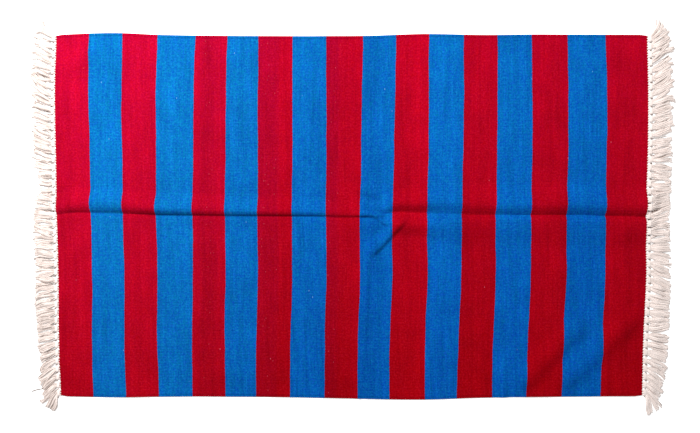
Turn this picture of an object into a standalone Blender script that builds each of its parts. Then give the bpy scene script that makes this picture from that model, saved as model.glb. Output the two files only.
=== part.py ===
"""Striped flat-woven dhurrie rug lying on the floor, with a knotted fringe along each end.

Metres, +Z up. +X runs along the rug's length and +Y across its width. The origin is the centre of the
whole footprint, fringes included, on the surface that the rug lies on. The rug is three pieces: the
woven field, which is one flat sheet with a fold line across its middle and a few soft ripples, and two
combs of tassels, one along each cut end.
"""

import math

import bmesh
import bpy
import numpy as np


def table(column_names, *rows):
    """A short table whose columns are read by name."""
    return np.array(list(rows), dtype=[(name, float) for name in column_names.split()])


# The woven field ------------------------------------------------------------------------------------

CLOTH_THICKNESS = 0.003
CORNER_RUN = 0.014
CORNER_DROP = 0.004
COLUMNS_ALONG = 43
ROWS_BELOW_FOLD = 9
ROWS_ABOVE_FOLD = 9

# Where the two cut ends lie, from the lower long edge to the upper one.
CUT_ENDS = table(
    "across left right",
    (-0.460, -0.737, 0.740),
    (-0.300, -0.743, 0.744),
    (-0.150, -0.744, 0.751),
    (0.000, -0.748, 0.749),
    (0.130, -0.750, 0.754),
    (0.300, -0.753, 0.756),
    (0.460, -0.749, 0.753),
)

# How far the two long edges bow in and out along the length.
LONG_EDGES = table(
    "along lower upper",
    (-0.75, -0.459, 0.459),
    (-0.62, -0.462, 0.464),
    (-0.48, -0.460, 0.459),
    (-0.35, -0.460, 0.457),
    (-0.10, -0.463, 0.456),
    (0.05, -0.466, 0.457),
    (0.16, -0.468, 0.461),
    (0.34, -0.463, 0.459),
    (0.48, -0.461, 0.460),
    (0.75, -0.459, 0.459),
)

# The fold line across the middle: where it runs, and the low ridge on its upper and lower side. A crest
# is the distance from the fold line to the top of the ridge, and a foot the distance to flat cloth.
FOLD_LINE = table(
    "along line upper_height upper_crest upper_foot lower_height lower_crest lower_foot",
    (-0.75, 0.002, 0.006, 0.014, 0.060, 0.001, 0.012, 0.030),
    (-0.72, 0.007, 0.012, 0.020, 0.065, 0.001, 0.012, 0.030),
    (-0.66, 0.008, 0.014, 0.025, 0.065, 0.001, 0.012, 0.030),
    (-0.58, 0.006, 0.014, 0.024, 0.065, 0.001, 0.012, 0.030),
    (-0.49, 0.002, 0.015, 0.020, 0.062, 0.001, 0.012, 0.030),
    (-0.40, 0.000, 0.014, 0.018, 0.060, 0.001, 0.012, 0.030),
    (-0.10, -0.002, 0.011, 0.012, 0.050, 0.001, 0.014, 0.040),
    (0.03, -0.003, 0.006, 0.012, 0.045, 0.002, 0.016, 0.045),
    (0.07, 0.001, 0.006, 0.016, 0.050, 0.004, 0.018, 0.050),
    (0.12, 0.011, 0.011, 0.026, 0.060, 0.008, 0.026, 0.062),
    (0.17, 0.009, 0.012, 0.030, 0.078, 0.009, 0.024, 0.064),
    (0.30, 0.003, 0.012, 0.031, 0.085, 0.008, 0.016, 0.085),
    (0.55, 0.001, 0.015, 0.030, 0.085, 0.008, 0.015, 0.090),
    (0.75, -0.003, 0.013, 0.029, 0.080, 0.008, 0.015, 0.090),
)

# Rows of the sheet that follow the fold line, as distances from it.
FOLD_ROWS = (-0.060, -0.040, -0.026, -0.018, -0.010, -0.005, 0.0)
FOLD_ROWS += (0.005, 0.010, 0.016, 0.024, 0.034, 0.046, 0.060, 0.076)

# Soft ripples, each one a low ridge between two places, fading out towards its ends.
RIPPLES = table(
    "from_x from_y to_x to_y height half_width",
    (0.150, -0.004, 0.050, -0.095, 0.0045, 0.024),
    (0.735, -0.245, 0.525, -0.440, 0.0085, 0.046),
    (0.590, -0.270, 0.420, -0.445, 0.0058, 0.044),
    (-0.745, -0.350, -0.665, -0.450, 0.0030, 0.036),
    (-0.745, 0.355, -0.630, 0.440, 0.0035, 0.040),
)

# How much of a ripple's length is at full height, and how softly it fades past that.
RIPPLE_FULL_SHARE = 0.6
RIPPLE_FADE = 0.3

# The fringe -----------------------------------------------------------------------------------------

TASSEL_COUNT = 45
PIECE_GAP = 0.0003
NEAR_FOLD = 0.05
WIDEST_SHARE_OF_PITCH = 0.84
HEADING_RADIUS = 0.0034
HEADING_SIDES = 6
TASSEL_SIDES = 6
TASSEL_THICKNESS = 0.0052
TASSEL_FULL_WIDTH = 0.0165
TASSEL_FALL = 0.034

# Along each tassel, from its knot to its trimmed tip: how far out, how wide, and how far its lean has
# set in.
TASSEL_SHAPE = table(
    "out width lean",
    (0.00, 0.50, 0.00),
    (0.35, 0.76, 0.25),
    (0.85, 1.00, 0.83),
    (1.00, 0.62, 1.00),
)

# How the tassels lean, towards the upper long edge where positive, and how far they reach past the cloth.
LEFT_TASSELS = table(
    "across lean_deg reach",
    (-0.457, -58, 0.031),
    (-0.418, -40, 0.044),
    (-0.359, -28, 0.048),
    (-0.291, -16, 0.053),
    (-0.215, -10, 0.059),
    (-0.131, 0, 0.057),
    (-0.062, 8, 0.058),
    (0.006, 12, 0.056),
    (0.065, 4, 0.041),
    (0.138, 18, 0.055),
    (0.240, 17, 0.054),
    (0.342, 26, 0.057),
    (0.457, 22, 0.047),
)
RIGHT_TASSELS = table(
    "across lean_deg reach",
    (-0.457, -57, 0.031),
    (-0.418, -38, 0.045),
    (-0.377, -28, 0.056),
    (-0.278, -8, 0.061),
    (-0.222, -12, 0.060),
    (-0.159, -20, 0.060),
    (-0.098, -6, 0.059),
    (-0.040, 14, 0.060),
    (0.039, 0, 0.060),
    (0.149, 2, 0.060),
    (0.240, 17, 0.058),
    (0.362, 33, 0.058),
    (0.435, 27, 0.052),
    (0.457, 50, 0.038),
)


def along_curve(rows, key, column, at):
    """A column's value on a smooth curve through the table's rows, ordered by its key column."""
    keys = rows[key]
    values = rows[column]
    slopes = np.gradient(values, keys)
    at = min(max(at, keys[0]), keys[-1])
    index = min(int(np.searchsorted(keys, at, side="right")) - 1, len(keys) - 2)
    span = keys[index + 1] - keys[index]
    share = (at - keys[index]) / span
    start_weight = (1 + 2 * share) * (1 - share) ** 2
    end_weight = share * share * (3 - 2 * share)
    start_pull = share * (1 - share) ** 2 * span * slopes[index]
    end_pull = share * share * (share - 1) * span * slopes[index + 1]
    return start_weight * values[index] + end_weight * values[index + 1] + start_pull + end_pull


def ridge(distance, height, crest, foot):
    """The height of one side of the fold: straight up out of the fold line, then a soft fall to flat."""
    if distance < crest:
        return height * math.sin(0.5 * math.pi * distance / crest)
    if distance < foot:
        return height * math.cos(0.5 * math.pi * (distance - crest) / (foot - crest)) ** 2
    return 0.0


def fold_height(x, y):
    """How far the fold across the middle lifts the cloth."""
    offset = y - along_curve(FOLD_LINE, "along", "line", x)
    side = "upper" if offset >= 0 else "lower"
    height, crest, foot = (
        along_curve(FOLD_LINE, "along", f"{side}_{part}", x) for part in ("height", "crest", "foot")
    )
    return ridge(abs(offset), height, crest, foot)


def ripple_height(row, x, y):
    """How far one ripple lifts the cloth: full along its middle, nothing past its width and its ends."""
    run_x = row["to_x"] - row["from_x"]
    run_y = row["to_y"] - row["from_y"]
    length = math.hypot(run_x, run_y)
    along = ((x - row["from_x"]) * run_x + (y - row["from_y"]) * run_y) / length**2
    aside = ((x - row["from_x"]) * run_y - (y - row["from_y"]) * run_x) / length
    past_full = max(0.0, abs(2 * along - 1) - RIPPLE_FULL_SHARE)
    spread = (aside / row["half_width"]) ** 2 + past_full**2 / RIPPLE_FADE
    return row["height"] * max(0.0, 1 - spread) ** 2


def lift(x, y):
    """The height of the cloth's underside above the floor."""
    return fold_height(x, y) + sum(ripple_height(row, x, y) for row in RIPPLES)


def lift_and_slope(x, y):
    """The underside's height and its steepness."""
    step = 0.001
    slope_x = (lift(x + step, y) - lift(x - step, y)) / (2 * step)
    slope_y = (lift(x, y + step) - lift(x, y - step)) / (2 * step)
    return lift(x, y), math.hypot(slope_x, slope_y)


def across_stations(x):
    """The sheet's rows at one place along its length, from the lower long edge to the upper one."""
    line = along_curve(FOLD_LINE, "along", "line", x)
    lower = along_curve(LONG_EDGES, "along", "lower", x)
    upper = along_curve(LONG_EDGES, "along", "upper", x)
    below = np.linspace(lower, line + FOLD_ROWS[0], ROWS_BELOW_FOLD, endpoint=False)
    above = np.linspace(upper, line + FOLD_ROWS[-1], ROWS_ABOVE_FOLD, endpoint=False)[::-1]
    return np.concatenate([below, line + np.array(FOLD_ROWS), above])


def corner_rounding(x, y, end_x):
    """How far a corner is rounded off towards the middle of the cut end."""
    nearness = max(0.0, 1 - abs(end_x - x) / CORNER_RUN)
    return -math.copysign(CORNER_DROP * nearness**2, y)


def cloth_place(share_along, row):
    """The flat place of one point of the sheet, from its share of the length and its row."""
    guide_x = (share_along - 0.5) * (CUT_ENDS["right"].max() - CUT_ENDS["left"].min())
    rows = across_stations(guide_x)
    y = rows[row]
    left = along_curve(CUT_ENDS, "across", "left", y)
    right = along_curve(CUT_ENDS, "across", "right", y)
    x = left + share_along * (right - left)
    if row in (0, len(rows) - 1):
        y += corner_rounding(x, y, left if share_along < 0.5 else right)
    return x, y


def column_shares():
    """Where the sheet's columns lie: even along the length, with one more close to each cut end."""
    shares = np.linspace(0, 1, COLUMNS_ALONG)
    close = CORNER_RUN / 2 / (CUT_ENDS["right"].max() - CUT_ENDS["left"].min())
    return np.concatenate([[0, close], shares[1:-1], [1 - close, 1]])


def woven_field():
    """The sheet: a grid thickened to the cloth, then laid over its folds."""
    shares = column_shares()
    row_count = ROWS_BELOW_FOLD + len(FOLD_ROWS) + ROWS_ABOVE_FOLD
    mesh = bpy.data.meshes.new("woven_field")
    grid = bmesh.new()
    bmesh.ops.create_grid(grid, x_segments=len(shares) - 1, y_segments=row_count - 1, size=0.5)
    for vertex in grid.verts:
        column = round((vertex.co.x + 0.5) * (len(shares) - 1))
        row = round((vertex.co.y + 0.5) * (row_count - 1))
        vertex.co.x, vertex.co.y = cloth_place(shares[column], row)
    bmesh.ops.recalc_face_normals(grid, faces=grid.faces)
    bmesh.ops.solidify(grid, geom=grid.faces[:], thickness=CLOTH_THICKNESS)
    lowest = min(vertex.co.z for vertex in grid.verts)
    for vertex in grid.verts:
        height, slope = lift_and_slope(vertex.co.x, vertex.co.y)
        is_face = vertex.co.z - lowest > CLOTH_THICKNESS / 2
        vertex.co.z = height + (CLOTH_THICKNESS * math.hypot(1, slope) if is_face else 0.0)
    bmesh.ops.recalc_face_normals(grid, faces=grid.faces)
    grid.to_mesh(mesh)
    grid.free()
    return bpy.data.objects.new("woven_field", mesh)


def tube_mesh(name, points, radii, sides):
    """A closed tube along points, made from a curve with a bevel, as a mesh."""
    curve = bpy.data.curves.new(name, "CURVE")
    curve.dimensions = "3D"
    curve.bevel_depth = 1.0
    curve.bevel_resolution = (sides - 4) // 2
    curve.use_fill_caps = True
    spline = curve.splines.new("POLY")
    spline.points.add(len(points) - 1)
    for spline_point, point, radius in zip(spline.points, points, radii):
        spline_point.co = (*point, 1)
        spline_point.radius = radius
    guide = bpy.data.objects.new(name, curve)
    bpy.context.scene.collection.objects.link(guide)
    graph = bpy.context.evaluated_depsgraph_get()
    mesh = bpy.data.meshes.new_from_object(guide.evaluated_get(graph))
    bpy.data.objects.remove(guide)
    return mesh


def add_mesh(target, mesh, flatten=1.0):
    """Adds a tube's mesh to a bmesh, its height scaled about the floor, with its caps welded."""
    piece = bmesh.new()
    piece.from_mesh(mesh)
    bmesh.ops.remove_doubles(piece, verts=piece.verts, dist=0.00001)
    for vertex in piece.verts:
        vertex.co.z *= flatten
    bmesh.ops.recalc_face_normals(piece, faces=piece.faces)
    piece.to_mesh(mesh)
    piece.free()
    target.from_mesh(mesh)
    bpy.data.meshes.remove(mesh)


def fringe_places():
    """Where the knots sit across the end, from the lower corner to the upper one."""
    lower, upper = CUT_ENDS["across"][0], CUT_ENDS["across"][-1]
    pitch = (upper - lower) / TASSEL_COUNT
    return [lower + pitch * (index + 0.5) for index in range(TASSEL_COUNT)], pitch


def heading_mesh(side, way):
    """The strip of knots that follows the cloth's cut end, a hair outside it."""
    places, pitch = fringe_places()
    ends = [places[0] - pitch * 0.4, places[-1] + pitch * 0.4]
    line = along_curve(FOLD_LINE, "along", "line", way * FOLD_LINE["along"][-1])
    over_fold = [line + distance for distance in FOLD_ROWS if abs(distance) < NEAR_FOLD]
    clear_of_fold = [y for y in places if abs(y - line) > NEAR_FOLD]
    points = []
    for y in sorted(ends + over_fold + clear_of_fold):
        end_x = along_curve(CUT_ENDS, "across", side, y)
        x = end_x + way * (PIECE_GAP + HEADING_RADIUS)
        points.append((x, y, lift(end_x, y) + HEADING_RADIUS))
    return tube_mesh("heading", points, [HEADING_RADIUS] * len(points), HEADING_SIDES)


def tassel_mesh(side, way, y, pitch, leans):
    """One tassel: a flattened tube that leaves its knot, swells, and is trimmed square."""
    lean = math.radians(along_curve(leans, "across", "lean_deg", y))
    reach = along_curve(leans, "across", "reach", y) - PIECE_GAP - HEADING_RADIUS
    root_x = along_curve(CUT_ENDS, "across", side, y) + way * (PIECE_GAP + HEADING_RADIUS)
    root_lift = lift(root_x - way * HEADING_RADIUS, y)
    width = min(TASSEL_FULL_WIDTH, WIDEST_SHARE_OF_PITCH * pitch * math.cos(lean))
    flatten = TASSEL_THICKNESS / width
    points = []
    radii = []
    for row in TASSEL_SHAPE:
        out = row["out"] * reach
        fall = 0.5 + 0.5 * math.cos(math.pi * min(1.0, out / TASSEL_FALL))
        radius = width / 2 * row["width"]
        x = root_x + way * out
        points.append((x, y + reach * math.tan(lean) * row["lean"], radius + root_lift * fall / flatten))
        radii.append(radius)
    return tube_mesh("tassel", points, radii, TASSEL_SIDES), flatten


def fringe_comb(side, way, leans, helpers):
    """A comb along one cut end: its heading strip and its tassels, joined into one solid."""
    name = f"fringe_{side}"
    heading = bmesh.new()
    add_mesh(heading, heading_mesh(side, way))
    comb = bpy.data.objects.new(name, bpy.data.meshes.new(name))
    heading.to_mesh(comb.data)
    heading.free()
    tassels = bmesh.new()
    places, pitch = fringe_places()
    for y in places:
        mesh, flatten = tassel_mesh(side, way, y, pitch, leans)
        add_mesh(tassels, mesh, flatten)
    teeth = bpy.data.objects.new(f"tassels_{side}", bpy.data.meshes.new(f"tassels_{side}"))
    tassels.to_mesh(teeth.data)
    tassels.free()
    helpers.objects.link(teeth)
    teeth.hide_render = True
    teeth.display_type = "WIRE"
    union = comb.modifiers.new("join_tassels", "BOOLEAN")
    union.operation = "UNION"
    union.solver = "EXACT"
    union.object = teeth
    return comb


def material(name, colour, roughness):
    """A plain cloth material."""
    made = bpy.data.materials.new(name)
    made.use_nodes = True
    shader = made.node_tree.nodes["Principled BSDF"]
    shader.inputs["Base Color"].default_value = (*colour, 1)
    shader.inputs["Roughness"].default_value = roughness
    shader.inputs["Metallic"].default_value = 0.0
    return made


def footprint_centre(objects):
    """The middle of the whole footprint."""
    bpy.context.view_layer.update()
    graph = bpy.context.evaluated_depsgraph_get()
    corners = []
    for obj in objects:
        mesh = obj.evaluated_get(graph).to_mesh()
        corners += [(vertex.co.x, vertex.co.y) for vertex in mesh.vertices]
    corners = np.array(corners)
    return (corners.min(axis=0) + corners.max(axis=0)) / 2


def main():
    for obj in list(bpy.data.objects):
        bpy.data.objects.remove(obj)
    rug = bpy.data.collections.new("dhurrie_rug")
    helpers = bpy.data.collections.new("helpers")
    bpy.context.scene.collection.children.link(rug)
    bpy.context.scene.collection.children.link(helpers)
    pieces = [
        (woven_field(), material("woven_field", (0.58, 0.004, 0.03), 0.9)),
        (fringe_comb("left", -1, LEFT_TASSELS, helpers), material("fringe_left", (0.82, 0.74, 0.66), 0.95)),
        (fringe_comb("right", 1, RIGHT_TASSELS, helpers), material("fringe_right", (0.80, 0.71, 0.63), 0.95)),
    ]
    for obj, finish in pieces:
        obj.data.materials.append(finish)
        rug.objects.link(obj)
    centre_x, centre_y = footprint_centre([obj for obj, _ in pieces])
    ground = bpy.data.objects.new("footprint", None)
    ground.location = (-centre_x, -centre_y, 0)
    rug.objects.link(ground)
    for obj in [obj for obj, _ in pieces] + list(helpers.objects):
        obj.parent = ground


main()
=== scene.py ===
"""Looks for a striped flat-woven dhurrie rug with a knotted fringe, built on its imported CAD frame.

Metres, +Z up, +X along the rug and +Y across it. The cloth is modelled as a weaver makes it: its mesh
columns follow the wefts, so that the stripes bow with them, and its mesh rows follow the warp ribs.
"""

import math
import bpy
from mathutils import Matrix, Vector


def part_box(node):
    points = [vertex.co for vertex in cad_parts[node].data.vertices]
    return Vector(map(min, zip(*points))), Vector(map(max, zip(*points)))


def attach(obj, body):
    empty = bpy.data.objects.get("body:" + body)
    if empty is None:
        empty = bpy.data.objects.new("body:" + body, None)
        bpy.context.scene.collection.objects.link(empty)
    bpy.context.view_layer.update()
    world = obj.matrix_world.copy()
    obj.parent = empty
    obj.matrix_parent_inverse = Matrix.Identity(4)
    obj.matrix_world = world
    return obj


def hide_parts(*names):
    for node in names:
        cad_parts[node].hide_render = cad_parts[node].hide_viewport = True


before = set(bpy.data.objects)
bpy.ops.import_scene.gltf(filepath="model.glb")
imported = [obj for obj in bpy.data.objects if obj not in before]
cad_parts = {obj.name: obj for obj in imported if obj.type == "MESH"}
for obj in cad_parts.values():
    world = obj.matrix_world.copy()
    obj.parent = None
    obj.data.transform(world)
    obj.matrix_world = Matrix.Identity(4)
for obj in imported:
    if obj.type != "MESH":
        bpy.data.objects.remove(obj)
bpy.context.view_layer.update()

from types import SimpleNamespace

import bpy
import numpy as np


def table(column_names, *rows):
    """A short table whose columns are read by name."""
    return np.array(list(rows), dtype=[(name, float) for name in column_names.split()])


# The cloth's outline and folds, a little more worked out than the CAD sheet's -------------------------

CLOTH_THICKNESS = 0.003

# How a corner is drawn in: by how much, and over what length of each of its two edges.
CORNER_DROP = 0.003
CORNER_RUN = 0.014
CORNER_WIDTH = 0.02

# Where the two cut ends lie, from the lower long edge to the upper one.
CUT_ENDS = table(
    "across left right",
    (-0.460, -0.737, 0.740),
    (-0.300, -0.743, 0.744),
    (-0.150, -0.744, 0.751),
    (0.000, -0.748, 0.749),
    (0.130, -0.750, 0.754),
    (0.300, -0.753, 0.756),
    (0.460, -0.749, 0.753),
)

# How far the two long edges bow in and out along the length.
LONG_EDGES = table(
    "along lower upper",
    (-0.75, -0.459, 0.459),
    (-0.62, -0.462, 0.464),
    (-0.48, -0.460, 0.459),
    (-0.35, -0.460, 0.457),
    (-0.10, -0.463, 0.456),
    (0.05, -0.466, 0.457),
    (0.16, -0.468, 0.461),
    (0.34, -0.463, 0.459),
    (0.48, -0.461, 0.460),
    (0.75, -0.459, 0.459),
)
CLOTH_WIDTH = float(LONG_EDGES["upper"].mean() - LONG_EDGES["lower"].mean())

# The fold line across the middle: where it runs, and the low ridge on its upper and lower side. Where its
# sharpness is below 1, the cloth drops ever more steeply towards the line; above 1, its valley is round.
FOLD_LINE = table(
    "along line upper_height upper_crest upper_foot lower_height lower_crest lower_foot sharpness",
    (-0.75, 0.002, 0.006, 0.014, 0.060, 0.001, 0.012, 0.030, 0.80),
    (-0.72, 0.007, 0.012, 0.020, 0.065, 0.001, 0.012, 0.030, 0.80),
    (-0.66, 0.008, 0.014, 0.025, 0.065, 0.001, 0.012, 0.030, 0.80),
    (-0.58, 0.006, 0.015, 0.024, 0.065, 0.001, 0.012, 0.030, 0.80),
    (-0.49, 0.002, 0.0175, 0.018, 0.062, 0.001, 0.012, 0.030, 0.78),
    (-0.40, 0.000, 0.0145, 0.0165, 0.060, 0.001, 0.012, 0.030, 0.80),
    (-0.10, -0.002, 0.011, 0.012, 0.050, 0.001, 0.014, 0.040, 0.80),
    (0.03, -0.003, 0.006, 0.012, 0.045, 0.002, 0.016, 0.045, 0.85),
    (0.07, 0.001, 0.007, 0.016, 0.050, 0.004, 0.018, 0.050, 1.00),
    (0.12, 0.009, 0.013, 0.023, 0.060, 0.009, 0.030, 0.064, 1.20),
    (0.17, 0.007, 0.0145, 0.025, 0.075, 0.010, 0.028, 0.065, 1.20),
    (0.24, 0.004, 0.011, 0.031, 0.082, 0.012, 0.024, 0.085, 1.30),
    (0.30, 0.002, 0.0135, 0.030, 0.085, 0.009, 0.017, 0.085, 1.10),
    (0.55, 0.0008, 0.0155, 0.028, 0.085, 0.008, 0.016, 0.090, 1.00),
    (0.75, -0.003, 0.016, 0.028, 0.080, 0.010, 0.016, 0.090, 0.90),
)

# Soft ripples, each a low ridge from one place to another, gentle on its left and steeper on its right.
RIPPLES = table(
    "from_x from_y to_x to_y height left_width right_width",
    (0.050, -0.101, 0.137, -0.007, 0.0086, 0.028, 0.0130),
    (0.014, 0.001, 0.088, -0.001, 0.0062, 0.012, 0.006),
    (0.056, 0.002, 0.096, -0.026, 0.0056, 0.010, 0.006),
    (0.020, 0.070, 0.112, 0.040, 0.0040, 0.030, 0.018),
    (0.525, -0.440, 0.735, -0.245, 0.0105, 0.050, 0.034),
    (0.420, -0.445, 0.590, -0.270, 0.0092, 0.050, 0.030),
    (-0.665, -0.450, -0.745, -0.350, 0.0030, 0.030, 0.036),
    (-0.745, 0.355, -0.630, 0.440, 0.0035, 0.040, 0.036),
    (0.022, -0.480, 0.047, -0.050, 0.0034, 0.020, 0.0100),
    (0.388, -0.480, 0.398, -0.335, 0.0030, 0.022, 0.013),
    (-0.510, 0.090, -0.180, 0.215, 0.0006, 0.030, 0.012),
)
# Which share of a ripple's length keeps its full height, and how slowly it dies out past that.
RIPPLE_CORE = 0.6
RIPPLE_TAPER = 0.3

# The strip along each long edge that flutters. Its waves change little across the rug: there, a distance
# counts for only this share of one along it.
FLUTTER_RUN = 0.035
FLUTTER_ACROSS = 0.2

# The weaver's stripe plan, crimson first: each stripe's width in millimetres near the lower edge, at the
# middle and near the upper edge.
STRIPES = table(
    "lower middle upper",
    (82, 87, 83),
    (84, 82, 86),
    (83, 84, 89),
    (86, 93, 97),
    (83, 82, 81),
    (78, 83, 79),
    (86, 87, 87),
    (88, 87, 86),
    (84, 86, 93),
    (80, 83, 85),
    (90, 88, 83),
    (82, 88, 89),
    (89, 86, 85),
    (87, 90, 87),
    (89, 90, 91),
    (100, 99, 98),
    (106, 104, 106),
)
# How the stripe edges waver across the rug: how many waves, and how far each goes.
EDGE_WAVER = ((3.3, 0.0004), (6.1, 0.0003), (12.0, 0.0002))

# How the two dyes vary along the rug, by stripe number: how strong the colour is, and how violet the crimson
# or how green the blue. The wefts came from several dye lots, some darker than the rest.
CRIMSON_LOTS = table(
    "stripe strength tint",
    (0.00, 0.96, 1.00),
    (0.45, 0.96, 1.00),
    (0.55, 1.03, 1.00),
    (2.00, 0.99, 1.00),
    (3.00, 0.96, 0.95),
    (4.15, 0.96, 0.75),
    (4.24, 0.88, 0.95),
    (4.32, 0.80, 1.30),
    (4.62, 0.81, 1.15),
    (4.74, 0.88, 1.00),
    (4.82, 0.94, 0.80),
    (6.05, 0.78, 1.00),
    (6.56, 0.79, 1.00),
    (6.64, 0.87, 0.15),
    (7.00, 0.88, 0.05),
    (8.02, 0.76, 0.85),
    (8.30, 0.77, 0.85),
    (8.40, 0.85, 0.10),
    (8.90, 0.88, 0.00),
    (10.46, 0.90, 0.00),
    (10.56, 0.98, 0.00),
    (11.00, 1.00, 0.00),
    (12.00, 0.86, 0.00),
    (12.90, 0.91, 0.00),
    (14.00, 0.94, 0.05),
    (15.00, 0.92, 0.00),
    (16.00, 0.99, 0.05),
    (16.60, 0.93, 0.00),
    (17.00, 0.96, 0.05),
)
BLUE_LOTS = table(
    "stripe strength tint",
    (1.00, 1.00, 1.00),
    (3.00, 0.98, 0.95),
    (5.00, 0.93, 0.70),
    (7.00, 0.94, 0.45),
    (9.10, 0.88, 0.20),
    (9.40, 0.86, 0.18),
    (9.80, 0.95, 0.30),
    (11.0, 0.98, 0.28),
    (13.0, 1.02, 0.26),
    (15.0, 1.04, 0.10),
    (16.0, 1.00, 0.10),
)

# The weave.
RIB_COUNT = 131
RIB_GROOVE = 0.00028
TOOTH_LENGTH = 0.0009
TOOTH_RUN = 0.002
WEFT_PITCH = 0.0024
SELVEDGE = 0.0052

# The cloth's mesh: its rows and columns, with more columns where creases run, and its rounded rim as insets
# from the edge with the share of the thickness there.
ROWS_PER_RIB = 3
COLUMNS_PER_STRIPE = 5
COLUMNS_AT_CREASES = {9: 20, 10: 16, 13: 10}
RIM = ((0.0, 0.42), (0.0010, 0.82), (0.0026, 1.0))
SLOPE_STEP = 0.0008
NO_TRIANGLES = np.empty((0, 3), int)

# The fringe's knots: how far out and how high they sit, the yarn in them and running into them, and the
# painted shadow tube between them.
TASSEL_COUNT = 45
KNOT_OUT = 0.0068
KNOT_HEIGHT = 0.0034
KNOT_LENGTH = 0.0046
KNOT_TURNS = 2.5
KNOT_YARN_RADIUS = 0.0017
WARPS_PER_KNOT = 3
WARP_RADIUS = 0.0025
WARP_GAP_IN_KNOT = 0.0036
YARN_SIDES = 7
TIP_BULGE = 0.4
HOLLOW_SHARE = 0.09

# The tassels: the strands in each of their clumps, and the yarn of a strand, two plies twisted together.
CLUMPS = (4, 4, 4)
STRAND_RADIUS = 0.00145
STRAND_SIDES = 6
STRAND_RINGS = 24
UNDER_RINGS = 14
TWIST_LENGTH = 0.011
PLY_LOBE = 0.16

# How the clumps and strands spread out from the knot: gaps in metres or, for whole clumps, in tassels; and
# degrees from clump to clump, more of them in the last tassels at each corner.
STRAND_GAP = 0.0022
ROOT_STRAND_SHARE = 0.35
ROOT_CLUMP_GAP = 0.0027
CLUMP_GAP = 0.30
UNDER_GAP = 0.33
SWELL_RATE = 2.2
CLUMP_FAN = 2.0
CORNER_FAN = 3.0
CORNER_TASSELS = 1.6

# How the strands come down to the floor and pile up there, in metres and in strand radii.
FALL_LENGTH = 0.030
UNDER_LAYER = 1.35
LOWER_LAYER = 2.2
LAYER_STEP = 1.2

# What sets the strands under a clump apart and their darker painted shade, and how much painted shade greys
# a clump's first strand into a shadow line.
UNDER_LENGTH = 0.94
UNDER_PAINTED_SHADES = (1.25, 1.55)
FIRST_STRAND_PAINTED_SHADE = 0.5

# How far a clump's tips hook to one side on average, and how unevenly it all lies, as standard deviations:
# leans in degrees, lengths as shares, the rest in metres.
CLUMP_HOOK = -0.0010
TASSEL_LEAN_SPREAD = 5.0
CLUMP_LEAN_SPREAD = 2.8
CLUMP_LENGTH_SPREAD = 0.022
CLUMP_BOW_SPREAD = 0.0022
CLUMP_HOOK_SPREAD = 0.0036
CLUMP_LOFT_SPREAD = 0.0030
STRAND_LENGTH_SPREAD = 0.014
STRAND_WAVE_SPREAD = 0.0007
STRAND_CURL_SPREAD = 0.0015

# How the tassels lean, towards the upper long edge where positive, and how far they reach past the cloth.
LEFT_TASSELS = table(
    "across lean_deg reach",
    (-0.457, -58, 0.028),
    (-0.418, -40, 0.044),
    (-0.359, -28, 0.048),
    (-0.291, -16, 0.053),
    (-0.215, -10, 0.059),
    (-0.131, 0, 0.057),
    (-0.062, 8, 0.058),
    (0.006, 12, 0.056),
    (0.065, 4, 0.041),
    (0.138, 18, 0.055),
    (0.240, 17, 0.054),
    (0.342, 26, 0.057),
    (0.457, 22, 0.047),
)
RIGHT_TASSELS = table(
    "across lean_deg reach",
    (-0.457, -66, 0.025),
    (-0.429, -44, 0.044),
    (-0.409, -35, 0.048),
    (-0.377, -26, 0.056),
    (-0.278, -8, 0.061),
    (-0.222, -12, 0.060),
    (-0.159, -20, 0.060),
    (-0.098, -6, 0.059),
    (-0.040, 14, 0.060),
    (0.039, 0, 0.060),
    (0.149, 2, 0.060),
    (0.240, 17, 0.058),
    (0.362, 33, 0.058),
    (0.435, 27, 0.052),
    (0.457, 50, 0.038),
)

# The dyes and the yarn, as linear colour.
CRIMSON = (0.325, 0.0007, 0.0082)
CRIMSON_VIOLET = (0.325, 0.0010, 0.0138)
BLUE = (0.0010, 0.080, 0.338)
BLUE_GREEN = (0.0018, 0.110, 0.338)
LINT_ON_CRIMSON = (0.85, 0.24, 0.36)
LINT_ON_BLUE = (0.34, 0.58, 0.78)
YARN = (0.86, 0.762, 0.720)
# The greyer yarn, reached by random grey and by painted light and shade on the strands.
YARN_SHADE = (0.60, 0.505, 0.460)
# Dark brown: painted shadow in the hollows by the knots, along the tassels and under the clumps, and the
# stray thread's own colour.
YARN_HOLLOW = (0.10, 0.065, 0.05)
FLOOR = (0.90, 0.90, 0.90)

# The strength or tint that a colour ramp's full value of 1 stands for.
RAMP_TOP = 1.5

# How far the ribs and chance shift the stripe edges, in stripes.
TOOTH_SHIFT = 0.004
RAGGED_SHIFT = 0.018

# The noises over the cloth: how closely each repeats along and across the rug, its seed and its detail.
NOISES = {
    "ragged": (60, 170, 3.1, 1.0),
    "fine": (520, 14, 1.7, 2.0),
    "middle": (150, 7, 4.4, 2.0),
    "broad": (40, 2.0, 6.3, 2.0),
    "grain": (250, 240, 9.9, 3.0),
    "hue": (260, 230, 5.5, 2.0),
    "broken": (75, 60, 8.1, 2.0),
    "cloud": (22, 16, 2.2, 3.0),
}
# How strongly each of them lightens and darkens the cloth.
STREAKS = {"fine": 0.08, "middle": 0.08, "broad": 0.06, "grain": 0.22, "cloud": 0.10}

# The kinds of lint: cells per metre, the size of a nep in its cell, and the chance that a cell has one.
ROUND_NEPS = {"scale": 36.0, "size": 0.045, "chance": 0.009, "seed": 0.0}
LONG_NEPS = {"scale": 110.0, "size": 0.12, "chance": 0.016, "seed": 4.0}
DUST = {"scale": 260.0, "size": 0.22, "chance": 0.09, "seed": 7.0}
# How much the last two are drawn out across the rug, and how strongly each of them shows.
DRAWN_OUT = 0.45
LONG_NEPS_SHOW = 0.40
DUST_SHOWS = 0.20


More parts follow.
